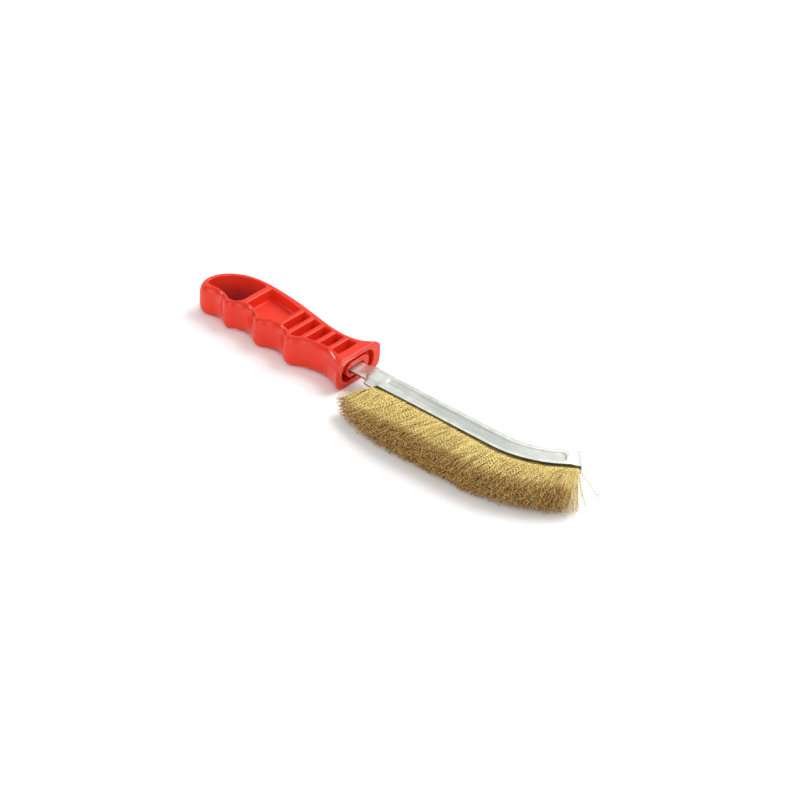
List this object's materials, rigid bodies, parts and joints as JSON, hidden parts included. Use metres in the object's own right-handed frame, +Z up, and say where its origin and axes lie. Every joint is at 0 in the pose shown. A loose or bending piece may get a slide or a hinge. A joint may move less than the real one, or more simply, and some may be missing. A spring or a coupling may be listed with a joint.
{
  "type": "hand wire brush",
  "caption": "Hand wire brush with a moulded plastic finger-groove grip and a curved steel channel holding a fan of brass-coloured crimped wires.",
  "frame": {"origin": "middle of the box around the brush, seen from above, at the height of the surface it lies on", "axes": "+X along the grip towards the strip's tip, -Y the way the wires point, +Z up, through the brush's thickness"},
  "size_m": [0.2832, 0.0658, 0.02],
  "materials": {
    "grip_plastic": "injection-moulded red plastic, fairly glossy",
    "channel_steel": "zinc-plated sheet steel, satin with faint spangle",
    "core_steel": "plain drawn steel wire",
    "brush_wire": "crimped brass-coated wire"
  },
  "bodies": {
    "root": {"grip": "grip_plastic", "ferrule": "channel_steel", "core_wire": "core_steel", "wire_tuft_01": "brush_wire", "wire_tuft_02": "brush_wire", "wire_tuft_03": "brush_wire", "wire_tuft_04": "brush_wire", "wire_tuft_05": "brush_wire", "wire_tuft_06": "brush_wire", "wire_tuft_07": "brush_wire", "wire_tuft_08": "brush_wire", "wire_tuft_09": "brush_wire", "wire_tuft_10": "brush_wire", "wire_tuft_11": "brush_wire", "wire_tuft_12": "brush_wire", "wire_tuft_13": "brush_wire", "wire_tuft_14": "brush_wire", "wire_tuft_15": "brush_wire", "wire_tuft_16": "brush_wire", "wire_tuft_17": "brush_wire", "wire_tuft_18": "brush_wire", "wire_tuft_19": "brush_wire", "wire_tuft_20": "brush_wire", "wire_tuft_21": "brush_wire", "wire_tuft_22": "brush_wire", "wire_tuft_23": "brush_wire", "wire_tuft_24": "brush_wire"}
  },
  "joints": []
}
